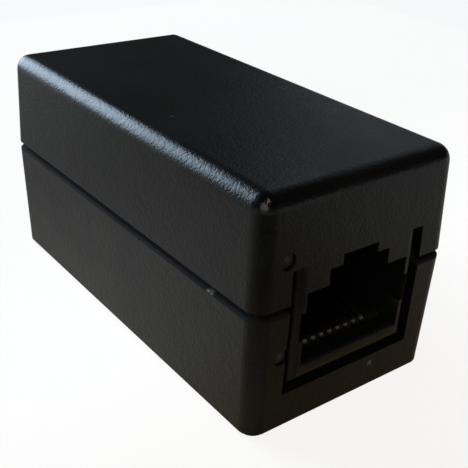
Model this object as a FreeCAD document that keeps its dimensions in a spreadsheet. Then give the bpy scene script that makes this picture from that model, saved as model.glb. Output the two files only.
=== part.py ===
"""In-line coupler for two eight-way modular plugs, as a parametric document in millimetres.

Frame: the origin is at the middle of the underside, X runs along the box from jack to jack,
Z is up. The two shells meet at the seam. "Front" names the jack at the +X end, "rear" the other.
"""
import FreeCAD, Part
import math
import os
import Sketcher

Vector = FreeCAD.Vector

# Driving sizes: alias, value (millimetres or degrees), meaning
SIZES = (
    ("body_length", 46.8, "length over both end faces at the seam"),
    ("body_width", 23.0, "width over both long sides at the seam"),
    ("tray_height", 13.0, "underside to the middle of the seam gap"),
    ("cover_height", 10.8, "middle of the seam gap to the top"),
    ("wall", 1.6, "thickness of the outer walls"),
    ("roof_wall", 1.6, "thickness of the cover's top"),
    ("floor_wall", 1.6, "thickness of the tray's floor"),
    ("draft_angle", 1.5, "mould draft of the outer walls, away from the seam"),
    ("corner_round", 1.6, "round of the four upright corners"),
    ("top_round", 1.6, "round of the cover's top edge"),
    ("foot_chamfer", 0.4, "chamfer of the tray's bottom edge"),
    ("seam_gap", 0.55, "shadow gap between the two rims"),
    ("rim_chamfer", 0.15, "chamfer of both rims along the seam"),
    ("rim_width", 0.8, "outer part of the wall that shows at the seam"),
    ("lip_height", 1.3, "rise of the tray's lip above its rim"),
    ("lip_clearance", 0.1, "play between the lip and the cover's rebate"),
    ("tongue_width", 14.4, "width of the cover's tongue on each end"),
    ("tongue_drop", 8.4, "reach of the tongue below the middle of the seam"),
    ("tongue_round", 1.1, "round of the tongue's outer edges"),
    ("slit_gap", 0.6, "gap round the tongue"),
    ("slit_rise", 3.65, "reach of the slits above the middle of the seam"),
    ("socket_width", 12.0, "width of the plug opening"),
    ("socket_top", 1.0, "roof of the plug opening above the seam"),
    ("socket_floor", 6.4, "floor of the plug opening below the seam"),
    ("socket_depth", 13.0, "end face to the back wall of the plug cavity"),
    ("entry_round", 0.4, "round of the plug opening's floor edge"),
    ("latch_width", 7.1, "width of the step for the plug's latch"),
    ("latch_top", 2.6, "roof of the latch step above the seam"),
    ("tab_width", 4.2, "width of the notch for the latch's tab"),
    ("tab_top", 3.6, "roof of the tab notch above the seam"),
    ("keyway_depth", 0.45, "depth of the side keyways"),
    ("keyway_top", 0.95, "top of the keyways below the seam"),
    ("keyway_foot", 3.8, "foot of the keyways below the seam"),
    ("keyway_length", 5.5, "reach of the keyways behind the end face"),
    ("sleeve_wall", 1.0, "thickness of the sleeve round the plug cavity"),
    ("channel_rise", 0.3, "room above the tab behind the catch"),
    ("web_width", 1.0, "thickness of the webs that hang the sleeves"),
    ("web_spacing", 9.0, "distance between the two webs of a sleeve"),
    ("hook_station", 6.5, "distance of the snap hooks from the middle"),
    ("hook_width", 4.0, "width of a snap hook"),
    ("hook_thickness", 1.1, "thickness of a snap hook's arm"),
    ("hook_clearance", 0.2, "play between hook and tray wall"),
    ("hook_reach", 4.2, "reach of the hooks below the seam"),
    ("barb_height", 1.4, "height of a hook's barb"),
    ("barb_depth", 0.55, "how far the barb stands out"),
    ("cradle_width", 1.2, "thickness of the ribs that carry the inserts"),
    ("cradle_span", 13.4, "length of those ribs across the tray"),
    ("mark_radius", 0.8, "radius of the ejector marks"),
    ("mark_depth", 0.2, "depth of the ejector marks"),
    ("mark_offset", 8.35, "ejector marks from the middle of the end face"),
    ("mark_level", 4.7, "ejector marks above and below the seam"),
    ("insert_clearance", 0.12, "play between insert and sleeve"),
    ("insert_back", 1.6, "thickness of the insert's back wall"),
    ("nose_setback", 3.1, "end face to the centre of the insert's nose"),
    ("contact_pitch", 1.02, "distance from contact to contact"),
    ("contact_width", 0.46, "width of a contact strip"),
    ("contact_thickness", 0.3, "thickness of a contact strip"),
    ("contact_bend", 1.1, "bend radius at the nose, to the strip's middle"),
    ("contact_slope", 19.5, "slope of a contact's free arm, degrees"),
    ("contact_play", 0.06, "play of a contact in its slot"),
    ("contact_tail", 1.4, "length of a contact's tail behind the insert"),
    ("tip_entry", 0.7, "how far a contact's tip enters the comb"),
    ("comb_depth", 1.0, "depth of the comb's slots"),
    ("comb_rise", 1.0, "free play of a contact's tip in the comb, each way"),
    ("wire_diameter", 0.8, "diameter of a link wire over its insulation"),
    ("wire_level", 0.95, "height from one crossing wire to the next"),
    ("wire_lead", 1.5, "straight run of a link wire at each end"),
    ("wire_crossing", 2.4, "half length of the level crossing run"),
)

CONTACTS = 8
WIRE_FACETS = 6
BEND_SHARE = 0.25  # part of a run that a link wire's bend takes
TOLERANCE = 1e-4


class Size:
    """A number together with the expression that ties it to the sheet."""

    def __init__(self, number, text):
        self.number = number
        self.text = text

    @staticmethod
    def of(value):
        return value if isinstance(value, Size) else Size(value, repr(value))

    def __add__(self, other):
        other = Size.of(other)
        return Size(self.number + other.number, f"({self.text} + {other.text})")

    def __radd__(self, other):
        return Size.of(other) + self

    def __sub__(self, other):
        other = Size.of(other)
        return Size(self.number - other.number, f"({self.text} - {other.text})")

    def __rsub__(self, other):
        return Size.of(other) - self

    def __mul__(self, other):
        other = Size.of(other)
        return Size(self.number * other.number, f"({self.text} * {other.text})")

    def __rmul__(self, other):
        return Size.of(other) * self

    def __truediv__(self, other):
        other = Size.of(other)
        return Size(self.number / other.number, f"({self.text} / {other.text})")

    def __neg__(self):
        return Size(-self.number, f"(-1 * {self.text})")

    def tan(self):
        return Size(math.tan(math.radians(self.number)), f"tan({self.text})")

    def sin(self):
        return Size(math.sin(math.radians(self.number)), f"sin({self.text})")

    def cos(self):
        return Size(math.cos(math.radians(self.number)), f"cos({self.text})")


document = FreeCAD.newDocument("InlineCoupler")


def build_sheet():
    """Write the driving sizes into the sheet and return them by alias."""
    sheet = document.addObject("Spreadsheet::Sheet", "Dims")
    for row, (alias, value, meaning) in enumerate(SIZES, start=1):
        sheet.set(f"A{row}", meaning)
        sheet.set(f"B{row}", str(value))
        sheet.setAlias(f"B{row}", alias)
    document.recompute()
    return {alias: Size(float(sheet.get(alias)), f"Dims.{alias}") for alias, _, _ in SIZES}


size = build_sheet()

# ---- levels and places that several pieces share ------------------------------------------
seam = size["tray_height"]
cover_rim = seam + size["seam_gap"] / 2
tray_rim = seam - size["seam_gap"] / 2
top = seam + size["cover_height"]
end_x = size["body_length"] / 2
side_y = size["body_width"] / 2
slope = size["draft_angle"].tan()
rebate_depth = size["lip_height"] - size["seam_gap"]
tongue_foot = seam - size["tongue_drop"]
tongue_half = size["tongue_width"] / 2
cutout_half = tongue_half + size["slit_gap"]
socket_half = size["socket_width"] / 2
socket_ceiling = seam + size["socket_top"]
socket_bed = seam - size["socket_floor"]
channel_top = seam + size["tab_top"] + size["channel_rise"]
sleeve_half = socket_half + size["sleeve_wall"]
sleeve_top = channel_top + size["sleeve_wall"]
insert_rear = end_x - size["socket_depth"] - size["insert_back"]
hook_outer = side_y - size["wall"] - size["hook_clearance"]
nose_x = end_x - size["nose_setback"]
slot_half = size["contact_thickness"] / 2 + size["contact_play"]
tail_level = tongue_foot + slot_half
nose_level = tail_level + size["contact_bend"]
slot_width = size["contact_width"] + 2 * size["contact_play"]
row_start = size["contact_pitch"] * ((CONTACTS - 1) / 2)
tail_end = insert_rear - size["contact_tail"]

PLANES = {"XY": "XY_Plane", "XZ": "XZ_Plane", "YZ": "YZ_Plane"}


# ---- sketches and features ----------------------------------------------------------------
def bind(thing, path, value):
    """Tie a property or constraint to the sheet."""
    thing.setExpression(path, Size.of(value).text)


def new_body(label):
    body = document.addObject("PartDesign::Body", label)
    body.Label = label
    return body


def new_sketch(body, plane, name, lift=None):
    """Add a sketch on one of the body's origin planes, lifted along the plane's normal."""
    sketch = body.newObject("Sketcher::SketchObject", name)
    planes = {feature.Role: feature for feature in body.Origin.OriginFeatures}
    sketch.AttachmentSupport = [(planes[PLANES[plane]], "")]
    sketch.MapMode = "FlatFace"
    if lift is not None:
        bind(sketch, "AttachmentOffset.Base.z", lift)
    return sketch


def place_point(sketch, geometry, point, corner):
    """Hold a point at a corner given from the sketch's origin."""
    for kind, value in zip(("DistanceX", "DistanceY"), corner):
        index = sketch.addConstraint(
            Sketcher.Constraint(kind, -1, 1, geometry, point, value.number)
        )
        bind(sketch, f"Constraints[{index}]", value)


def draw_polygon(sketch, corners):
    """Draw a closed outline through corners, each a pair of sizes."""
    corners = [(Size.of(x), Size.of(y)) for x, y in corners]
    points = [Vector(x.number, y.number, 0) for x, y in corners]
    first = sketch.GeometryCount
    count = len(points)
    for index, point in enumerate(points):
        sketch.addGeometry(Part.LineSegment(point, points[(index + 1) % count]))
    for index in range(count):
        after = first + (index + 1) % count
        sketch.addConstraint(Sketcher.Constraint("Coincident", first + index, 2, after, 1))
    for index, corner in enumerate(corners):
        place_point(sketch, first + index, 1, corner)


def draw_box(sketch, low, high):
    """Draw a rectangle between two corners."""
    draw_polygon(sketch, (low, (high[0], low[1]), high, (low[0], high[1])))


def draw_frame(sketch, half_x, half_y):
    """Draw a rectangle centred on the sketch's origin."""
    draw_box(sketch, (-half_x, -half_y), (half_x, half_y))


def draw_circle(sketch, centre, radius):
    centre = (Size.of(centre[0]), Size.of(centre[1]))
    middle = Vector(centre[0].number, centre[1].number, 0)
    index = sketch.addGeometry(Part.Circle(middle, Vector(0, 0, 1), radius.number))
    place_point(sketch, index, 3, centre)
    held = sketch.addConstraint(Sketcher.Constraint("Radius", index, radius.number))
    bind(sketch, f"Constraints[{held}]", radius)


def extrude(kind, sketch, name, length=None, reverse=False, symmetric=False):
    """Add a Pad or a Pocket, and check that it changed the solid the right way."""
    body = sketch.getParentGeoFeatureGroup()
    document.recompute()
    before = 0.0 if body.Shape.isNull() else body.Shape.Volume
    feature = body.newObject(f"PartDesign::{kind}", name)
    feature.Profile = sketch
    feature.Reversed = reverse
    if symmetric:
        feature.SideType = "Symmetric"
    if length is None:
        feature.Type = "ThroughAll"
    else:
        bind(feature, "Length", length)
    document.recompute()
    gained = body.Shape.Volume - before
    if (kind == "Pad") != (gained > 0) or abs(gained) < TOLERANCE:
        raise RuntimeError(f"{name} changed the volume by {gained}")
    return feature


def pad(sketch, name, length, **options):
    return extrude("Pad", sketch, name, length, **options)


def pocket(sketch, name, length=None, **options):
    return extrude("Pocket", sketch, name, length, **options)


def dress_edges(kind, body, name, amount, chosen):
    """Add a Fillet or a Chamfer to the edges of the body's tip that the test picks."""
    tip = body.Tip
    names = [
        f"Edge{index}"
        for index, edge in enumerate(tip.Shape.Edges, start=1)
        if chosen(edge.BoundBox)
    ]
    if not names:
        raise RuntimeError(f"{name} finds no edge")
    feature = body.newObject(f"PartDesign::{kind}", name)
    feature.Base = (tip, names)
    bind(feature, "Radius" if kind == "Fillet" else "Size", amount)
    document.recompute()
    return feature


def fillet(body, name, radius, chosen):
    return dress_edges("Fillet", body, name, radius, chosen)


def chamfer(body, name, width, chosen):
    return dress_edges("Chamfer", body, name, width, chosen)


def draft(body, name, angle, level, upward):
    """Lean every upright face of the body's tip inwards, away from the flat face at a level."""
    tip = body.Tip
    faces = list(enumerate(tip.Shape.Faces, start=1))
    upright = [f"Face{index}" for index, face in faces if face.BoundBox.ZLength > TOLERANCE]
    neutral = [
        f"Face{index}" for index, face in faces
        if face.BoundBox.ZLength < TOLERANCE and near(face.BoundBox.ZMin, level)
    ]
    feature = body.newObject("PartDesign::Draft", name)
    feature.Base = (tip, upright)
    feature.NeutralPlane = (tip, neutral)
    feature.Reversed = not upward
    bind(feature, "Angle", angle)
    document.recompute()
    return feature


def near(first, second):
    return abs(first - Size.of(second).number) < 0.01


# ---- shells -------------------------------------------------------------------------------
def at_level(box, level):
    """Tell whether an edge lies flat at a height."""
    return box.ZLength < TOLERANCE and near(box.ZMin, level)


def on_outline(box):
    """Tell whether an edge at the seam lies on the outer outline."""
    return (
        near(box.XMax, end_x) or near(box.XMin, -end_x)
        or near(box.YMax, side_y) or near(box.YMin, -side_y)
    )


def casing(body, rim, height, inside, upward):
    """Make an open box from its rim: block, hollow, mould draft, corner rounds, rim chamfer."""
    outline = new_sketch(body, "XY", "Outline", rim)
    draw_frame(outline, end_x, side_y)
    pad(outline, "Block", height, reverse=not upward)
    hollow = new_sketch(body, "XY", "Inside", rim)
    draw_frame(hollow, end_x - size["wall"], side_y - size["wall"])
    pocket(hollow, "Hollow", inside, reverse=upward)
    draft(body, "MouldDraft", size["draft_angle"], rim, upward)

    outer_x = (end_x - size["wall"] / 2).number
    fillet(
        body, "CornerRound", size["corner_round"],
        lambda box: box.ZLength > height.number * 0.9 and max(box.XMax, -box.XMin) > outer_x,
    )
    chamfer(
        body, "RimChamfer", size["rim_chamfer"],
        lambda box: at_level(box, rim) and on_outline(box),
    )


def mark(body, level, height_from_seam):
    """Cut the round ejector mark to the left of the jack on each end face."""
    face_x = end_x - height_from_seam * slope
    for name, end in (("Front", 1), ("Rear", -1)):
        sketch = new_sketch(body, "YZ", f"{name}MarkOutline", end * end_x)
        draw_circle(sketch, (-end * size["mark_offset"], level), size["mark_radius"])
        pocket(
            sketch, f"{name}Mark", end_x - face_x + size["mark_depth"], reverse=end < 0
        )


def tongue(body, name, end):
    """Carry the cover's end wall down across the seam, in line with the tray's drafted face."""
    drop = tray_rim - tongue_foot
    foot_x = end_x - drop * slope
    shoulder = cover_rim + rebate_depth
    profile = new_sketch(body, "XZ", f"{name}TongueProfile")
    draw_polygon(profile, [(end * x, z) for x, z in (
        (end_x - rebate_depth * slope, shoulder),
        (end_x, cover_rim),
        (end_x, tray_rim),
        (foot_x, tongue_foot),
        (foot_x - size["wall"], tongue_foot),
        (end_x - size["wall"] - rebate_depth * slope, shoulder),
    )])
    pad(profile, f"{name}Tongue", size["tongue_width"], symmetric=True)


def socket_outline():
    """The stepped plug opening with its latch step and tab notch, as (y, z) corners."""
    latch_half = size["latch_width"] / 2
    tab_half = size["tab_width"] / 2
    right = (
        (socket_half, socket_bed),
        (socket_half, socket_ceiling),
        (latch_half, socket_ceiling),
        (latch_half, seam + size["latch_top"]),
        (tab_half, seam + size["latch_top"]),
        (tab_half, seam + size["tab_top"]),
    )
    return list(right) + [(-y, z) for y, z in reversed(right)]


def sleeve(body, name, end):
    """Build the four-sided sleeve that guides the plug and takes the insert from below."""
    depth = size["socket_depth"] + size["insert_back"]
    back = end > 0
    inner_face = end_x - size["wall"]

    outer = new_sketch(body, "YZ", f"{name}SleeveOutline", end * inner_face)
    draw_box(outer, (-sleeve_half, tongue_foot), (sleeve_half, sleeve_top))
    pad(outer, f"{name}Sleeve", inner_face - insert_rear, reverse=back)

    for side_name, side in (("Left", -1), ("Right", 1)):
        web = new_sketch(body, "YZ", f"{name}{side_name}WebOutline", end * inner_face)
        middle = side * size["web_spacing"] / 2
        half = size["web_width"] / 2
        draw_box(
            web,
            (middle - half, sleeve_top - size["sleeve_wall"] / 2),
            (middle + half, top - size["roof_wall"] / 2),
        )
        pad(web, f"{name}{side_name}Web", inner_face - insert_rear, reverse=back)

    opening = new_sketch(body, "YZ", f"{name}OpeningOutline", end * end_x)
    draw_polygon(opening, socket_outline())
    pocket(opening, f"{name}Opening", depth, reverse=not back)
    fillet(
        body, f"{name}EntryRound", size["entry_round"],
        lambda box: (
            at_level(box, socket_bed)
            and box.YLength > socket_half.number
            and end * box.XMin > inner_face.number
        ),
    )

    keyways = new_sketch(body, "YZ", f"{name}KeywayOutline", end * end_x)
    for side in (-1, 1):
        draw_box(
            keyways,
            (side * (socket_half - size["keyway_depth"]), seam - size["keyway_foot"]),
            (side * (socket_half + size["keyway_depth"]), seam - size["keyway_top"]),
        )
    pocket(keyways, f"{name}Keyways", size["keyway_length"], reverse=not back)

    channel = new_sketch(body, "YZ", f"{name}ChannelOutline", end * inner_face)
    latch_half = size["latch_width"] / 2
    draw_box(channel, (-latch_half, socket_ceiling), (latch_half, channel_top))
    pocket(channel, f"{name}Channel", inner_face - insert_rear, reverse=not back)

    foot_x = end_x - (tray_rim - tongue_foot) * slope - size["wall"]
    bay = new_sketch(body, "YZ", f"{name}BayOutline", end * foot_x)
    draw_box(
        bay,
        (-socket_half, tongue_foot - size["slit_gap"]),
        (socket_half, socket_bed + size["sleeve_wall"]),
    )
    pocket(bay, f"{name}Bay", foot_x - insert_rear, reverse=not back)


def hook(body, name, side, station):
    """Hang a snap hook inside a long wall, with its barb pointing outwards."""
    inner = hook_outer - size["hook_thickness"]
    foot = seam - size["hook_reach"]
    shoulder = cover_rim + rebate_depth
    root = shoulder + size["hook_reach"]
    barb_foot = foot + size["barb_height"] / 2
    profile = new_sketch(body, "YZ", f"{name}Profile", station - size["hook_width"] / 2)
    draw_polygon(profile, [(side * y, z) for y, z in (
        (inner, root),
        (inner, foot),
        (hook_outer - size["hook_thickness"] / 3, foot),
        (hook_outer + size["barb_depth"], barb_foot),
        (hook_outer + size["barb_depth"], barb_foot + size["barb_height"] / 3),
        (hook_outer, barb_foot + size["barb_height"]),
        (hook_outer, shoulder),
        (side_y - size["wall"] / 2 - rebate_depth * slope, shoulder),
        (side_y - size["wall"] / 2 - (size["hook_reach"] + rebate_depth) * slope, root),
    )])
    pad(profile, name, size["hook_width"])


def on_tongue_rim(box):
    """Tell whether an edge lies on the outer rim of a tongue: its two flanks and its foot."""
    foot_x = (end_x - (tray_rim - tongue_foot) * slope).number
    outside = min(abs(box.XMin), abs(box.XMax)) > foot_x - 0.01
    flank = (
        box.YLength < TOLERANCE
        and near(abs(box.YMin), tongue_half)
        and box.ZMax < (seam + size["slit_rise"]).number + 0.01
    )
    return outside and (flank or at_level(box, tongue_foot))


def each_hook():
    """Give the name, side and station of every snap hook."""
    for side_name, side in (("Left", -1), ("Right", 1)):
        for end_name, end in (("Rear", -1), ("Front", 1)):
            yield f"{end_name}{side_name}Hook", side, end * size["hook_station"]


def build_upper_shell():
    body = new_body("upper_shell")
    height = top - cover_rim
    casing(body, cover_rim, height, height - size["roof_wall"], True)
    fillet(body, "TopRound", size["top_round"], lambda box: at_level(box, top))

    step = new_sketch(body, "XY", "RebateOutline", cover_rim)
    draw_frame(step, end_x - size["rim_width"], side_y - size["rim_width"])
    pocket(step, "Rebate", rebate_depth, reverse=True)

    for name, end in (("Front", 1), ("Rear", -1)):
        tongue(body, name, end)

    slits = new_sketch(body, "YZ", "SlitOutline")
    for side in (-1, 1):
        draw_box(
            slits,
            (side * tongue_half, tray_rim),
            (side * cutout_half, seam + size["slit_rise"]),
        )
    pocket(slits, "Slits", symmetric=True)
    fillet(body, "TongueRound", size["tongue_round"], on_tongue_rim)

    for name, end in (("Front", 1), ("Rear", -1)):
        sleeve(body, name, end)
    for name, side, station in each_hook():
        hook(body, name, side, station)
    mark(body, seam + size["mark_level"], seam + size["mark_level"] - cover_rim)
    return body


def build_lower_shell():
    body = new_body("lower_shell")
    casing(body, tray_rim, tray_rim, tray_rim - size["floor_wall"], False)
    chamfer(body, "FootChamfer", size["foot_chamfer"], lambda box: at_level(box, 0))

    lip = new_sketch(body, "XY", "LipOutline", tray_rim)
    inset = size["rim_width"] + size["lip_clearance"]
    draw_frame(lip, end_x - inset, side_y - inset)
    draw_frame(lip, end_x - size["wall"], side_y - size["wall"])
    pad(lip, "Lip", size["lip_height"])

    cutout = new_sketch(body, "YZ", "CutoutOutline")
    draw_box(
        cutout,
        (-cutout_half, tongue_foot - size["slit_gap"]),
        (cutout_half, tray_rim + 2 * size["lip_height"]),
    )
    pocket(cutout, "Cutouts", symmetric=True)

    ribs = (
        ("Front", 1, "Nose", nose_x - size["cradle_width"]),
        ("Front", 1, "Heel", insert_rear + size["cradle_width"]),
        ("Rear", -1, "Nose", nose_x - size["cradle_width"]),
        ("Rear", -1, "Heel", insert_rear + size["cradle_width"]),
    )
    for end_name, end, place, distance in ribs:
        rib = new_sketch(body, "YZ", f"{end_name}{place}RibOutline", end * distance)
        half = size["cradle_span"] / 2
        draw_box(rib, (-half, size["floor_wall"] / 2), (half, tongue_foot))
        pad(rib, f"{end_name}{place}Rib", size["cradle_width"], symmetric=True)

    for name, side, station in each_hook():
        catch = new_sketch(body, "YZ", f"{name}CatchOutline", station)
        barb_foot = seam - size["hook_reach"] + size["barb_height"] / 2
        draw_box(
            catch,
            (
                side * (side_y - size["wall"] - size["barb_depth"]),
                barb_foot - size["barb_height"] / 2,
            ),
            (
                side * (side_y - size["wall"] + size["barb_depth"]),
                barb_foot + size["barb_height"] + size["hook_clearance"],
            ),
        )
        pocket(
            catch, f"{name}Catch", size["hook_width"] + 2 * size["hook_clearance"],
            symmetric=True,
        )
    mark(body, seam - size["mark_level"], tray_rim - seam + size["mark_level"])
    return body


# ---- jack insert --------------------------------------------------------------------------
def build_insert(label):
    """Moulded insert: bed with a rounded slotted nose, and a back wall with the comb."""
    body = new_body(label)
    half = socket_half - size["insert_clearance"]
    width = 2 * half
    back_x = end_x - size["socket_depth"]
    back_top = socket_ceiling - size["insert_clearance"]

    profile = new_sketch(body, "XZ", "SideProfile")
    draw_polygon(profile, (
        (nose_x, tongue_foot),
        (nose_x, socket_bed),
        (back_x, socket_bed),
        (back_x, back_top),
        (insert_rear, back_top),
        (insert_rear, tongue_foot),
    ))
    pad(profile, "Bed", width, symmetric=True)

    stop = new_sketch(body, "YZ", "LatchStopOutline", insert_rear)
    stop_half = size["latch_width"] / 2 - size["insert_clearance"]
    draw_box(stop, (-stop_half, socket_bed), (stop_half, channel_top - size["insert_clearance"]))
    pad(stop, "LatchStop", size["insert_back"])

    nose = new_sketch(body, "XZ", "NoseProfile")
    draw_circle(nose, (nose_x, nose_level), size["contact_bend"])
    pad(nose, "Nose", width, symmetric=True)

    run = new_sketch(body, "XZ", "SlotProfile")
    draw_slot(run)
    pocket(run, "NoseSlot", slot_width, symmetric=True)
    spread(body, run, "z", row_start, "NoseSlots")

    comb = new_sketch(body, "YZ", "CombProfile", back_x)
    tip_level = arm_level(back_x)
    reach = size["comb_rise"] + size["contact_thickness"] / 2
    draw_box(comb, (-slot_width / 2, tip_level - reach), (slot_width / 2, tip_level + reach))
    pocket(comb, "CombSlot", size["comb_depth"])
    spread(body, comb, "x", -row_start, "CombSlots")
    return body


def arm_level(x):
    """Height of a contact's free arm, at the strip's middle, above the point x."""
    angle = size["contact_slope"]
    bend = size["contact_bend"]
    leave_x = nose_x + bend * angle.sin()
    leave_z = nose_level + bend * angle.cos()
    return leave_z + (leave_x - x) * angle.tan()


def draw_slot(sketch):
    """Outline a slot that follows a contact: under the bed, round the nose and over it."""
    core = size["contact_bend"] - slot_half
    outside = nose_x + 2 * size["contact_bend"]
    under = tongue_foot - size["contact_bend"]
    over = nose_level + 2 * size["contact_bend"]
    relief = nose_x - size["contact_bend"]
    corners = (
        (nose_x, nose_level - core),
        (insert_rear - size["contact_tail"], nose_level - core),
        (insert_rear - size["contact_tail"], under),
        (outside, under),
        (outside, over),
        (relief, over),
        (relief, nose_level + core),
        (nose_x, nose_level + core),
    )
    points = [Vector(x.number, z.number, 0) for x, z in corners]
    last = len(points) - 1
    for start, finish in zip(points, points[1:]):
        sketch.addGeometry(Part.LineSegment(start, finish))
    middle = Vector(nose_x.number, nose_level.number, 0)
    circle = Part.Circle(middle, Vector(0, 0, 1), core.number)
    arc = sketch.addGeometry(Part.ArcOfCircle(circle, -math.pi / 2, math.pi / 2))
    for index in range(last - 1):
        sketch.addConstraint(Sketcher.Constraint("Coincident", index, 2, index + 1, 1))
    sketch.addConstraint(Sketcher.Constraint("Coincident", last - 1, 2, arc, 2))
    sketch.addConstraint(Sketcher.Constraint("Coincident", 0, 1, arc, 1))
    place_point(sketch, arc, 3, (nose_x, nose_level))
    place_point(sketch, 0, 1, corners[0])
    for index in range(1, last):
        place_point(sketch, index, 1, corners[index])
    held = sketch.addConstraint(
        Sketcher.Constraint("DistanceX", -1, 1, arc, 2, nose_x.number)
    )
    bind(sketch, f"Constraints[{held}]", nose_x)


def spread(body, sketch, axis, start, name):
    """Repeat the body's last cut across the row of contacts, from the row's first place."""
    first = body.Tip
    planes = {feature.Role: feature for feature in body.Origin.OriginFeatures}
    pattern = body.newObject("PartDesign::LinearPattern", name)
    pattern.Originals = [first]
    pattern.Direction = (planes["Y_Axis"], [""])
    bind(pattern, "Length", size["contact_pitch"] * (CONTACTS - 1))
    pattern.Occurrences = CONTACTS
    body.Tip = pattern
    bind(sketch, f"AttachmentOffset.Base.{axis}", start)
    document.recompute()


# ---- contacts and link wires --------------------------------------------------------------
def build_contact(label, end, place):
    """A formed strip: tail under the insert, bend round the nose, free arm up to the comb."""
    body = new_body(label)
    angle = size["contact_slope"]
    bend = size["contact_bend"]
    leave = (nose_x + bend * angle.sin(), nose_level + bend * angle.cos())
    tip_x = end_x - size["socket_depth"] - size["tip_entry"]
    path = new_sketch(body, "XZ", "Path")
    corners = ((tail_end, tail_level), (nose_x, tail_level), leave, (tip_x, arm_level(tip_x)))
    points = [Vector(x.number, z.number, 0) for x, z in corners]
    path.addGeometry(Part.LineSegment(points[0], points[1]))
    circle = Part.Circle(
        Vector(nose_x.number, nose_level.number, 0), Vector(0, 0, 1), bend.number
    )
    finish = math.radians(90 - angle.number)
    path.addGeometry(Part.ArcOfCircle(circle, -math.pi / 2, finish))
    path.addGeometry(Part.LineSegment(points[2], points[3]))
    path.addConstraint(Sketcher.Constraint("Tangent", 0, 2, 1, 1))
    path.addConstraint(Sketcher.Constraint("Tangent", 1, 2, 2, 1))
    place_point(path, 0, 1, corners[0])
    place_point(path, 1, 3, (nose_x, nose_level))
    place_point(path, 2, 2, corners[3])

    section = new_sketch(body, "YZ", "Section", tail_end)
    half_width = size["contact_width"] / 2
    half_thickness = size["contact_thickness"] / 2
    draw_box(
        section,
        (-half_width, tail_level - half_thickness),
        (half_width, tail_level + half_thickness),
    )
    document.recompute()
    strip = body.newObject("PartDesign::AdditivePipe", "Strip")
    strip.Profile = section
    strip.Spine = (path, ["Edge1", "Edge2", "Edge3"])
    document.recompute()
    bind(body, "Placement.Base.y", end * (place * size["contact_pitch"] - row_start))
    if end < 0:
        body.Placement.Rotation = FreeCAD.Rotation(Vector(0, 0, 1), 180)
    return body


def rounded_path(points, share):
    """Join points by straight runs and tangent arcs that take a share of the shorter run."""
    edges = []
    start = points[0]
    for before, corner, after in zip(points, points[1:], points[2:]):
        incoming = (corner - before).normalize()
        outgoing = (after - corner).normalize()
        turn = incoming.getAngle(outgoing)
        if turn < math.radians(1):
            edges.append(Part.LineSegment(start, corner).toShape())
            start = corner
            continue
        cut = share * min((corner - before).Length, (after - corner).Length)
        radius = cut / math.tan(turn / 2)
        enter = corner - incoming * cut
        leave = corner + outgoing * cut
        inward = (outgoing - incoming).normalize()
        centre = corner + inward * math.hypot(radius, cut)
        middle = centre - inward * radius
        edges.append(Part.LineSegment(start, enter).toShape())
        edges.append(Part.Arc(enter, middle, leave).toShape())
        start = leave
    edges.append(Part.LineSegment(start, points[-1]).toShape())
    return Part.Wire(edges)


def build_link_wire(label, place):
    """An insulated conductor that crosses over, so that each pin meets its own number."""
    across = row_start.number - place * size["contact_pitch"].number
    level = tail_level.number + place * size["wire_level"].number
    lead = tail_end.number - size["wire_lead"].number
    crossing = size["wire_crossing"].number
    narrowed = across * (crossing + lead) / (2 * lead)
    half = (
        Vector(tail_end.number, across, tail_level.number),
        Vector(lead, across, tail_level.number),
        Vector(crossing, narrowed, level),
    )
    points = list(half) + [Vector(-p.x, -p.y, p.z) for p in reversed(half)]
    path = rounded_path(points, BEND_SHARE)
    radius = size["wire_diameter"].number / 2
    turns = [2 * math.pi * index / WIRE_FACETS for index in range(WIRE_FACETS)]
    ring = [points[0] + Vector(0, math.cos(t), math.sin(t)) * radius for t in turns]
    wire = document.addObject("Part::Feature", label)
    wire.Label = label
    wire.Shape = path.makePipeShell([Part.makePolygon(ring + ring[:1])], True, False)
    wire.Placement = FreeCAD.Placement()
    return wire


def check(pieces):
    """Stop unless every object is built and every piece is one valid solid."""
    for thing in document.Objects:
        if "Invalid" in thing.State or "Error" in thing.State:
            raise RuntimeError(f"{thing.Name} failed: {thing.State}")
    for piece in pieces:
        shape = piece.Shape
        if shape.isNull() or not shape.isValid() or len(shape.Solids) != 1:
            raise RuntimeError(f"{piece.Label} is not one valid solid")
        print(f"{piece.Label:20s} {shape.Volume:9.2f} mm3  {len(shape.Faces)} faces")


def main():
    pieces = [build_upper_shell(), build_lower_shell()]
    for name, end in (("front", 1), ("rear", -1)):
        insert = build_insert(f"{name}_jack_insert")
        if end < 0:
            insert.Placement = FreeCAD.Placement(
                Vector(0, 0, 0), FreeCAD.Rotation(Vector(0, 0, 1), 180)
            )
        pieces.append(insert)
        for place in range(CONTACTS):
            pieces.append(build_contact(f"{name}_contact_{place + 1}", end, place))
    for place in range(CONTACTS):
        pieces.append(build_link_wire(f"link_wire_{place + 1}", place))
    document.recompute()
    check(pieces)
    os.makedirs("parts", exist_ok=True)
    for piece in pieces:
        piece.Shape.exportStep(f"parts/{piece.Label}.step")


main()
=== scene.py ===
"""Looks of the in-line coupler: finishes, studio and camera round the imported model.

Everything is in metres in the model's frame: the origin is under the middle of the box, X runs
from jack to jack, Z is up.
"""
import logging
import math
from dataclasses import dataclass, field
from enum import Enum
from typing import Any, Mapping, Sequence, Union

import bpy
from mathutils import Matrix, Vector

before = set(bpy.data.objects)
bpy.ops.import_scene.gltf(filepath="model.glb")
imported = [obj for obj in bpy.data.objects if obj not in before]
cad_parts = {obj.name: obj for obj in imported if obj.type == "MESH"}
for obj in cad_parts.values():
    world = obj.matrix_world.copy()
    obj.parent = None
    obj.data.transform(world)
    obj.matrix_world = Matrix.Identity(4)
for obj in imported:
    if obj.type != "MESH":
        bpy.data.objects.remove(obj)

logging.basicConfig(level=logging.INFO, format="%(message)s")
LOG = logging.getLogger("coupler")

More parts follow.
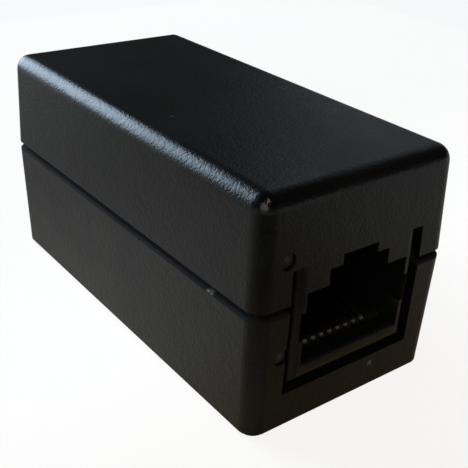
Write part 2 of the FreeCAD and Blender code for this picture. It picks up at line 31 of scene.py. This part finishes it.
Colour = tuple[float, float, float]
Point = tuple[float, float, float]
Band = tuple[float, float]
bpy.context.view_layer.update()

SPOT_CORE = 0.35  # share of a spot's reach over which it has its full strength
MIDDLE = 0.5  # middle value of a noise
SHEET_SPECULAR = 0.2  # specular level of paper and card


# ---- shader graph -------------------------------------------------------------------------
class Wire:
    """One output socket, with arithmetic that adds Math nodes behind it."""

    def __init__(self, graph: "Graph", socket: bpy.types.NodeSocket) -> None:
        """Keep the graph and the socket.

        Args:
            graph: The graph that new nodes go into.
            socket: The output that this value comes from.
        """
        self.graph = graph
        self.socket = socket

    def math(self, operation: str, *others: "Value") -> "Wire":
        """Feed this value and others to a Math node.

        Args:
            operation: The Math node's operation.
            others: The node's further inputs.

        Returns:
            The node's result.
        """
        inputs = dict(enumerate((self, *others)))
        return self.graph.node("ShaderNodeMath", {"operation": operation}, inputs)

    def __add__(self, other: "Value") -> "Wire":
        """Add a value."""
        return self.math("ADD", other)

    def __radd__(self, other: "Value") -> "Wire":
        """Add to a plain number."""
        return self.math("ADD", other)

    def __sub__(self, other: "Value") -> "Wire":
        """Subtract a value."""
        return self.math("SUBTRACT", other)

    def __rsub__(self, other: float) -> "Wire":
        """Subtract this from a plain number."""
        return self.graph.node(
            "ShaderNodeMath", {"operation": "SUBTRACT"}, {0: other, 1: self}
        )

    def __mul__(self, other: "Value") -> "Wire":
        """Multiply by a value."""
        return self.math("MULTIPLY", other)

    def __truediv__(self, other: "Value") -> "Wire":
        """Divide by a value."""
        return self.math("DIVIDE", other)

    def smooth(self, start: float, finish: float) -> "Wire":
        """Fade smoothly from 0 at start to 1 at finish; start may be the larger.

        Args:
            start: The value that gives 0.
            finish: The value that gives 1.

        Returns:
            The faded value.
        """
        low, high = min(start, finish), max(start, finish)
        settings = {"interpolation_type": "SMOOTHSTEP"}
        faded = self.graph.node(
            "ShaderNodeMapRange", settings, {"Value": self, "From Min": low, "From Max": high}
        )
        return faded if start < finish else 1.0 - faded


Value = Union[Wire, float]


class Graph:
    """The node tree of one material or world."""

    def __init__(self, owner: Union[bpy.types.Material, bpy.types.World]) -> None:
        """Empty the owner's node tree.

        Args:
            owner: The material or world that the nodes belong to.
        """
        owner.use_nodes = True
        self.tree = owner.node_tree
        self.tree.nodes.clear()

    def make(
        self,
        kind: str,
        settings: Mapping[str, Any] | None = None,
        inputs: Mapping[Union[str, int], Any] | None = None,
    ) -> bpy.types.Node:
        """Add a node, its settings first and then its inputs.

        Args:
            kind: The node's type.
            settings: Its properties; "stops" sets a colour ramp's stops.
            inputs: Values or wires by socket name or index.

        Returns:
            The node.
        """
        node = self.tree.nodes.new(kind)
        for name, setting in (settings or {}).items():
            if name == "stops":
                self._set_stops(node, setting)
            else:
                setattr(node, name, setting)
        for name, given in (inputs or {}).items():
            target = node.inputs[name]
            if isinstance(given, Wire):
                self.tree.links.new(given.socket, target)
            else:
                target.default_value = given
        return node

    @staticmethod
    def _set_stops(node: bpy.types.Node, stops: Sequence[tuple[float, Colour]]) -> None:
        """Set the stops of a colour ramp.

        Args:
            node: The ramp.
            stops: Pairs of position and colour, in order.
        """
        elements = node.color_ramp.elements
        while len(elements) < len(stops):
            elements.new(1.0)
        for element, (position, colour) in zip(elements, stops):
            element.position = position
            element.color = (*colour, 1.0)

    def node(
        self,
        kind: str,
        settings: Mapping[str, Any] | None = None,
        inputs: Mapping[Union[str, int], Any] | None = None,
        output: Union[str, int] = 0,
    ) -> Wire:
        """Add a node and give one of its outputs.

        Args:
            kind: The node's type.
            settings: Its properties.
            inputs: Values or wires by socket name or index.
            output: The name or index of the output.

        Returns:
            The output as a wire.
        """
        return Wire(self, self.make(kind, settings, inputs).outputs[output])

    def place(self) -> Wire:
        """Give the object coordinates, which are metres in the model's frame."""
        return self.node("ShaderNodeTexCoord", output="Object")

    def axes(self) -> tuple[Wire, Wire, Wire]:
        """Give the x, y and z of the place."""
        split = self.make("ShaderNodeSeparateXYZ", inputs={0: self.place()})
        x, y, z = (Wire(self, output) for output in split.outputs)
        return x, y, z

    def noise(self, grain: float, detail: float = 2.0, stretch: Point = (1, 1, 1)) -> Wire:
        """Add a noise texture.

        Args:
            grain: The size of its blobs, in metres.
            detail: Its detail.
            stretch: How much finer it is along each axis.

        Returns:
            The noise, about 0 to 1 with its middle at 0.5.
        """
        scaled = self.node(
            "ShaderNodeMapping", {"vector_type": "POINT"},
            {"Vector": self.place(), "Scale": tuple(s / grain for s in stretch)},
        )
        return self.node(
            "ShaderNodeTexNoise", {}, {"Vector": scaled, "Scale": 1.0, "Detail": detail}
        )

    def blend(
        self, factor: Wire, first: Union[Wire, Colour], second: Union[Wire, Colour]
    ) -> Wire:
        """Mix two colours.

        Args:
            factor: 0 gives the first and 1 the second.
            first: A colour or a wire.
            second: A colour or a wire.

        Returns:
            The mixed colour.
        """
        mix = self.make("ShaderNodeMix", {"data_type": "RGBA"})
        colours = [s for s in mix.inputs if s.type == "RGBA"]
        pairs = ((mix.inputs[0], factor), (colours[0], first), (colours[1], second))
        for target, given in pairs:
            if isinstance(given, Wire):
                self.tree.links.new(given.socket, target)
            else:
                target.default_value = (*given, 1.0)
        results = [s for s in mix.outputs if s.type == "RGBA"]
        return Wire(self, results[0])

    def near(self, centre: Point, reach: Point) -> Wire:
        """Fade from 1 round a point to 0 at the edge of an ellipsoid.

        Args:
            centre: The point, in metres.
            reach: The half axes, in metres.

        Returns:
            The mask.
        """
        moved = self.node(
            "ShaderNodeMapping", {"vector_type": "POINT"},
            {
                "Vector": self.place(),
                "Location": tuple(-c / r for c, r in zip(centre, reach)),
                "Scale": tuple(1 / r for r in reach),
            },
        )
        distance = self.node(
            "ShaderNodeVectorMath", {"operation": "LENGTH"}, {0: moved}, output="Value"
        )
        return distance.smooth(1.0, SPOT_CORE)

    def bump(self, height: Wire, distance: float) -> Wire:
        """Turn a height into a normal.

        Args:
            height: The height, about 0 to 1.
            distance: How far 1 stands above 0, in metres.

        Returns:
            The normal.
        """
        return self.node("ShaderNodeBump", {}, {"Height": height, "Distance": distance})

    def finish(self, shader: Wire, kind: str = "ShaderNodeOutputMaterial") -> None:
        """Link a shader to the output.

        Args:
            shader: The shader.
            kind: The output node's type.
        """
        self.make(kind, inputs={"Surface": shader})

    def plastic(self, inputs: Mapping[str, Any]) -> Wire:
        """Add the principled shader.

        Args:
            inputs: Its sockets by name.

        Returns:
            The shader.
        """
        return self.node("ShaderNodeBsdfPrincipled", {}, inputs, output="BSDF")


# ---- finishes -----------------------------------------------------------------------------
@dataclass(frozen=True)
class Spot:
    """A small rubbed or polished place on a shell: where it is, how large and how strong."""

    centre: Point
    reach: Point
    strength: float


@dataclass(frozen=True)
class SparkedPlastic:
    """Black moulded plastic: a fine spark-eroded grain, dust, rubs and polished spots."""

    name: str
    colour: Colour = (0.0024, 0.0024, 0.0023)
    worn_colour: Colour = (0.19, 0.185, 0.175)
    roughness: float = 0.31
    roughness_swing: float = 0.08
    grain: float = 0.00027
    grain_height: float = 0.00005
    specular: float = 0.22
    coarse_ratio: float = 3.2
    coarse_swing: float = 0.06
    fine_height: float = 0.8
    coarse_height: float = 0.5
    cloud_size: float = 0.009
    cloud_band: Band = (0.3, 0.7)
    shades: Band = (0.88, 1.14)
    dust_size: float = 0.00045
    dust_band: Band = (0.74, 0.80)
    dust_amount: float = 0.07
    rub_band: Band = (0.36, 0.62)
    scuffs: tuple[Spot, ...] = ()
    polished: tuple[Spot, ...] = ()
    matt_rim: Band | None = None
    rim_roughness: float = 0.6

    def build(self) -> bpy.types.Material:
        """Build the material.

        Returns:
            The material.
        """
        material = bpy.data.materials.new(self.name)
        graph = Graph(material)
        fine = graph.noise(self.grain, detail=3.0)
        coarse = graph.noise(self.grain * self.coarse_ratio)
        cloud = graph.noise(self.cloud_size, detail=3.0)
        dust = graph.noise(self.dust_size, detail=1.0).smooth(*self.dust_band)
        worn = dust * self.dust_amount
        for scuff in self.scuffs:
            patch = graph.near(scuff.centre, scuff.reach)
            worn = worn + patch * fine.smooth(*self.rub_band) * scuff.strength
        tone = cloud.smooth(*self.cloud_band)
        dark, light = (tuple(c * shade for c in self.colour) for shade in self.shades)
        base = graph.blend(tone, dark, light)
        colour = graph.blend(worn, base, self.worn_colour)
        rough = (tone - MIDDLE) * self.roughness_swing + self.roughness
        rough = rough + (coarse - MIDDLE) * self.coarse_swing
        for spot in self.polished:
            rough = rough - graph.near(spot.centre, spot.reach) * spot.strength
        if self.matt_rim:
            _, _, z = graph.axes()
            rough = rough + z.smooth(*self.matt_rim) * self.rim_roughness
        height = fine * self.fine_height + coarse * self.coarse_height
        shader = graph.plastic({
            "Base Color": colour,
            "Roughness": rough,
            "Specular IOR Level": self.specular,
            "Normal": graph.bump(height, self.grain_height),
        })
        graph.finish(shader)
        return material


@dataclass(frozen=True)
class GiltStrip:
    """Gilt wire with rubbed streaks, bright on its upper part and dark low down with painted
    shade.
    """

    name: str
    colour: Colour = (0.80, 0.72, 0.54)
    rubbed: Colour = (0.84, 0.80, 0.72)
    # painted shade: near black colour for the wire's lower part
    low_shade: Colour = (0.035, 0.028, 0.018)
    shade_top: Band = (0.0070, 0.0067)
    roughness: float = 0.15
    roughness_swing: float = 0.16
    streak_size: float = 0.0003
    streak_stretch: Point = (0.15, 1.0, 1.0)
    streak_band: Band = (0.45, 0.65)
    streak_height: float = 0.000002

    def build(self) -> bpy.types.Material:
        """Build the material.

        Returns:
            The material.
        """
        material = bpy.data.materials.new(self.name)
        graph = Graph(material)
        streak = graph.noise(self.streak_size, detail=3.0, stretch=self.streak_stretch)
        _, _, z = graph.axes()
        colour = graph.blend(streak.smooth(*self.streak_band), self.colour, self.rubbed)
        # painted shade: the wire goes dark below this height, hiding its reflection low down
        colour = graph.blend(z.smooth(*self.shade_top), colour, self.low_shade)
        rough = self.roughness + (streak - MIDDLE) * self.roughness_swing
        graph.finish(graph.plastic({
            "Base Color": colour,
            "Metallic": 1.0,
            "Roughness": rough,
            "Normal": graph.bump(streak, self.streak_height),
        }))
        return material


@dataclass(frozen=True)
class Insulation:
    """Smooth extruded insulation with faint dye streaks."""

    name: str
    colour: Colour
    roughness: float = 0.36
    roughness_swing: float = 0.12
    streak_size: float = 0.0007
    streak_stretch: Point = (0.2, 1.0, 1.0)
    streak_band: Band = (0.35, 0.7)
    streak_height: float = 0.000006
    dull_shade: float = 0.82

    def build(self) -> bpy.types.Material:
        """Build the material.

        Returns:
            The material.
        """
        material = bpy.data.materials.new(self.name)
        graph = Graph(material)
        streak = graph.noise(self.streak_size, detail=3.0, stretch=self.streak_stretch)
        dull = tuple(c * self.dull_shade for c in self.colour)
        graph.finish(graph.plastic({
            "Base Color": graph.blend(streak.smooth(*self.streak_band), dull, self.colour),
            "Roughness": self.roughness + (streak - MIDDLE) * self.roughness_swing,
            "Normal": graph.bump(streak, self.streak_height),
        }))
        return material


@dataclass(frozen=True)
class StudioSheet:
    """The pale sheet under the coupler, nearly white wherever it is seen or reflected."""

    name: str
    colour: Colour = (0.82, 0.82, 0.82)
    whiteness: float = 0.87
    roughness: float = 0.8
    mottle_size: float = 0.05
    dull_shade: float = 0.98

    def build(self) -> bpy.types.Material:
        """Build the material.

        Returns:
            The material.
        """
        material = bpy.data.materials.new(self.name)
        graph = Graph(material)
        tone = graph.noise(self.mottle_size)
        dull = tuple(c * self.dull_shade for c in self.colour)
        sheet = graph.plastic({
            "Base Color": graph.blend(tone, dull, self.colour),
            "Roughness": self.roughness,
            "Specular IOR Level": SHEET_SPECULAR,
        })
        rays = graph.make("ShaderNodeLightPath")
        kinds = ("Is Camera Ray", "Is Glossy Ray", "Is Transmission Ray")
        camera, glossy, passed = (Wire(graph, rays.outputs[kind]) for kind in kinds)
        seen = camera.math("MAXIMUM", glossy).math("MAXIMUM", passed) * self.whiteness
        white = graph.node("ShaderNodeEmission", {}, {"Color": (1, 1, 1, 1), "Strength": 1.0})
        graph.finish(graph.node(
            "ShaderNodeMixShader", {}, {0: seen, 1: sheet, 2: white}
        ))
        return material


@dataclass(frozen=True)
class PaintedShadeCard:
    """Matt card with painted light and shade: near black at the front corner, pale at the right,
    warm at the left.
    """

    name: str
    end_face: float = 0.0234
    slant: float = 0.77
    dark_edge: float = -0.05
    pale_edge: float = 0.012
    # painted shade: ramp across the front of the card, from near black to pale
    front_shade_stops: tuple[tuple[float, Colour], ...] = (
        (0.00, (0.06, 0.06, 0.06)),
        (0.24, (0.10, 0.10, 0.095)),
        (0.45, (0.35, 0.33, 0.29)),
        (0.67, (0.55, 0.51, 0.43)),
        (0.81, (0.70, 0.67, 0.60)),
        (0.96, (0.85, 0.83, 0.78)),
    )
    brown: Colour = (0.66, 0.49, 0.28)
    brown_band: Band = (0.048, 0.026)
    brown_amount: float = 0.75
    # painted shade: paler near the coupler, darker towards the far left
    near_left: Colour = (0.84, 0.76, 0.66)
    far_left: Colour = (0.50, 0.44, 0.37)
    left_band: Band = (0.0, -0.045)
    front_start: float = 0.005
    roughness: float = 0.85
    fibre_size: float = 0.002
    fibre_swing: float = 0.1

    def build(self) -> bpy.types.Material:
        """Build the material.

        Returns:
            The material.
        """
        material = bpy.data.materials.new(self.name)
        graph = Graph(material)
        x, y, _ = graph.axes()
        # painted shade: the ramp darkens the floor in front of the coupler's near corner
        across = y - (x - self.end_face) * self.slant
        place = (across - self.dark_edge) / (self.pale_edge - self.dark_edge)
        front = graph.node("ShaderNodeValToRGB", {"stops": self.front_shade_stops}, {"Fac": place})
        browned = x.smooth(*self.brown_band) * self.brown_amount
        front = graph.blend(browned, front, self.brown)
        # painted shade: the card darkens towards the far left
        left = graph.blend(x.smooth(*self.left_band), self.near_left, self.far_left)
        fibre = graph.noise(self.fibre_size) * self.fibre_swing
        ahead = x.smooth(self.front_start, self.end_face)
        graph.finish(graph.plastic({
            "Base Color": graph.blend(ahead, left, front),
            "Roughness": fibre + self.roughness,
            "Specular IOR Level": SHEET_SPECULAR,
        }))
        return material


# ---- sub-assemblies -----------------------------------------------------------------------
class Pin(Enum):
    """Insulation colour of each conductor, in pin order."""

    WHITE_ORANGE = (0.78, 0.66, 0.54)
    ORANGE = (0.78, 0.26, 0.03)
    WHITE_GREEN = (0.60, 0.74, 0.60)
    BLUE = (0.03, 0.12, 0.55)
    WHITE_BLUE = (0.58, 0.66, 0.80)
    GREEN = (0.03, 0.32, 0.09)
    WHITE_BROWN = (0.70, 0.60, 0.50)
    BROWN = (0.20, 0.09, 0.035)


def dress(node: str, material: bpy.types.Material) -> None:
    """Give a node of the model its finish.

    Args:
        node: The node's name.
        material: The finish.
    """
    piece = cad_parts[node]
    piece.data.materials.clear()
    piece.data.materials.append(material)
    LOG.info("%s: %s", node, material.name)


@dataclass
class Shells:
    """The cover with its two tongues, and the tray."""

    cover: SparkedPlastic
    tray: SparkedPlastic

    def build(self) -> None:
        """Dress both shells."""
        dress("upper_shell", self.cover.build())
        dress("lower_shell", self.tray.build())


@dataclass
class Jack:
    """The insert of one end with its row of eight contacts."""

    end: str
    moulding: bpy.types.Material
    gilt: bpy.types.Material
    contacts: int = 8

    def build(self) -> None:
        """Dress the insert and its contacts."""
        dress(f"{self.end}_jack_insert", self.moulding)
        for number in range(1, self.contacts + 1):
            dress(f"{self.end}_contact_{number}", self.gilt)


@dataclass
class LinkWires:
    """The eight conductors that join the two rows of contacts."""

    pins: Sequence[Pin] = field(default_factory=lambda: tuple(Pin))

    def build(self) -> None:
        """Dress each conductor in the colour of its pin."""
        for number, pin in enumerate(self.pins, start=1):
            name = "insulation_" + pin.name.lower()
            dress(f"link_wire_{number}", Insulation(name, pin.value).build())


# ---- studio -------------------------------------------------------------------------------
@dataclass
class SoftLamp:
    """A square soft light that points at the coupler."""

    name: str
    place: Point
    side: float
    power: float
    colour: Colour
    target: Point = (0.0, 0.0, 0.012)

    def build(self) -> None:
        """Add the lamp."""
        data = bpy.data.lights.new(self.name, "AREA")
        data.shape = "SQUARE"
        data.size = self.side
        data.energy = self.power
        data.color = self.colour
        lamp = bpy.data.objects.new(self.name, data)
        lamp.location = self.place
        towards = Vector(self.target) - Vector(self.place)
        lamp.rotation_euler = towards.to_track_quat("-Z", "Y").to_euler()
        bpy.context.scene.collection.objects.link(lamp)


@dataclass
class ReflectionCard:
    """A card that lies round the coupler, unseen by the camera and without a shadow.

    Reflections and bounced light near the coupler take their tones from it, which are painted
    light and shade.
    """

    name: str
    side: float
    finish: PaintedShadeCard
    level: float = 0.0001

    def build(self) -> None:
        """Lay the card."""
        bpy.ops.object.select_all(action="DESELECT")
        bpy.ops.mesh.primitive_plane_add(size=self.side, location=(0, 0, self.level))
        card = bpy.context.object
        bpy.ops.object.transform_apply(location=True, rotation=False, scale=False)
        card.name = self.name
        card.visible_camera = False
        card.visible_shadow = False
        card.data.materials.append(self.finish.build())


@dataclass
class Studio:
    """Floor, card, room light and lamps."""

    lamps: Sequence[SoftLamp]
    card: ReflectionCard
    floor_side: float = 3.0
    room_level: float = 0.05

    def build(self) -> None:
        """Build the floor, the card, the room and the lamps."""
        self._floor()
        self.card.build()
        self._room()
        for lamp in self.lamps:
            lamp.build()
        bpy.context.scene.view_settings.view_transform = "Standard"

    def _floor(self) -> None:
        """Lay the pale sheet that the coupler stands on."""
        bpy.ops.object.select_all(action="DESELECT")
        bpy.ops.mesh.primitive_plane_add(size=self.floor_side, location=(0, 0, 0))
        floor = bpy.context.object
        floor.name = "floor_sheet"
        floor.data.materials.append(StudioSheet("studio_sheet").build())

    def _room(self) -> None:
        """Light the room evenly, and show it white to the camera."""
        world = bpy.data.worlds.new("room")
        bpy.context.scene.world = world
        graph = Graph(world)
        rays = graph.make("ShaderNodeLightPath")
        seen = Wire(graph, rays.outputs["Is Camera Ray"])
        level = seen * (1.0 - self.room_level) + self.room_level
        light = graph.node(
            "ShaderNodeBackground", {}, {"Color": (1, 1, 1, 1), "Strength": level}
        )
        graph.finish(light, "ShaderNodeOutputWorld")


@dataclass
class Viewpoint:
    """The camera: where it looks from, how it is turned and how long its lens is."""

    azimuth: float = 52.129
    elevation: float = 27.579
    roll: float = 2.632
    distance: float = 0.08912
    right_offset: float = -0.002992
    up_offset: float = 0.004788
    pivot: Point = (0.0, 0.0, 0.013)
    lens: float = 63.453
    sensor: float = 36.0
    clip_start: float = 0.005

    def build(self) -> None:
        """Add the camera and make it the scene's."""
        azimuth, elevation = math.radians(self.azimuth), math.radians(self.elevation)
        back = Vector((
            math.sin(azimuth) * math.cos(elevation),
            -math.cos(azimuth) * math.cos(elevation),
            math.sin(elevation),
        ))
        level_right = (-back).cross(Vector((0, 0, 1))).normalized()
        level_up = level_right.cross(-back)
        turn = math.radians(self.roll)
        right = level_right * math.cos(turn) + level_up * math.sin(turn)
        up = level_up * math.cos(turn) - level_right * math.sin(turn)
        place = (
            Vector(self.pivot) + back * self.distance
            - right * self.right_offset - up * self.up_offset
        )
        data = bpy.data.cameras.new("view_camera")
        data.lens = self.lens
        data.sensor_width = self.sensor
        data.clip_start = self.clip_start
        camera = bpy.data.objects.new("view_camera", data)
        turned = Matrix((right, up, back)).transposed()
        camera.matrix_world = Matrix.Translation(place) @ turned.to_4x4()
        bpy.context.scene.collection.objects.link(camera)
        bpy.context.scene.camera = camera


def main() -> None:
    """Build the whole scene in order."""
    nick = Spot(centre=(0.0169, -0.01150, 0.01265), reach=(0.0006, 0.0009, 0.00022), strength=0.8)
    foot_speck = Spot(
        centre=(0.02315, 0.00325, 0.00295), reach=(0.0004, 0.0004, 0.0004), strength=1.0
    )
    low_mark = Spot(
        centre=(0.0232, -0.00845, 0.0083), reach=(0.0007, 0.0007, 0.0007), strength=0.16
    )
    high_mark = Spot(
        centre=(0.0232, -0.00845, 0.0177), reach=(0.0006, 0.0006, 0.0006), strength=0.10
    )
    top_speck = Spot(
        centre=(0.00387, -0.00697, 0.0238), reach=(0.00032, 0.00032, 0.00032), strength=0.25
    )
    corner_spark = Spot(
        centre=(0.02245, -0.01025, 0.02335), reach=(0.0009, 0.0009, 0.0009), strength=0.2
    )
    Shells(
        SparkedPlastic("black_cover", scuffs=(high_mark, top_speck), polished=(corner_spark,)),
        SparkedPlastic(
            "black_tray", scuffs=(nick, foot_speck, low_mark), matt_rim=(0.01240, 0.01256)
        ),
    ).build()
    moulding = SparkedPlastic("black_insert", roughness=0.4, grain_height=0.000004).build()
    gilt = GiltStrip("gilt_strip").build()
    for end in ("front", "rear"):
        Jack(end, moulding, gilt).build()
    LinkWires().build()
    window = SoftLamp(
        "window", place=(-0.69, -0.225, 0.29), side=0.5, power=9.0, colour=(0.64, 0.82, 1.0)
    )
    sky = SoftLamp(
        "sky", place=(-0.35, 0.60, 0.42), side=0.5, power=0.30, colour=(0.74, 0.87, 1.0)
    )
    fill = SoftLamp(
        "fill", place=(0.50, -0.55, 0.42), side=0.6, power=3.1, colour=(1.0, 0.98, 0.95)
    )
    bulb = SoftLamp(
        "bulb", place=(0.248, -0.087, 0.46), side=0.06, power=0.24, colour=(1.0, 0.72, 0.38)
    )
    # card with painted light and shade, seen only in reflections and bounced light
    card = ReflectionCard("painted_shade_card", side=0.26, finish=PaintedShadeCard("painted_shade_card"))
    Studio(lamps=(window, sky, bulb, fill), card=card).build()
    Viewpoint().build()


if __name__ == "__main__":
    main()
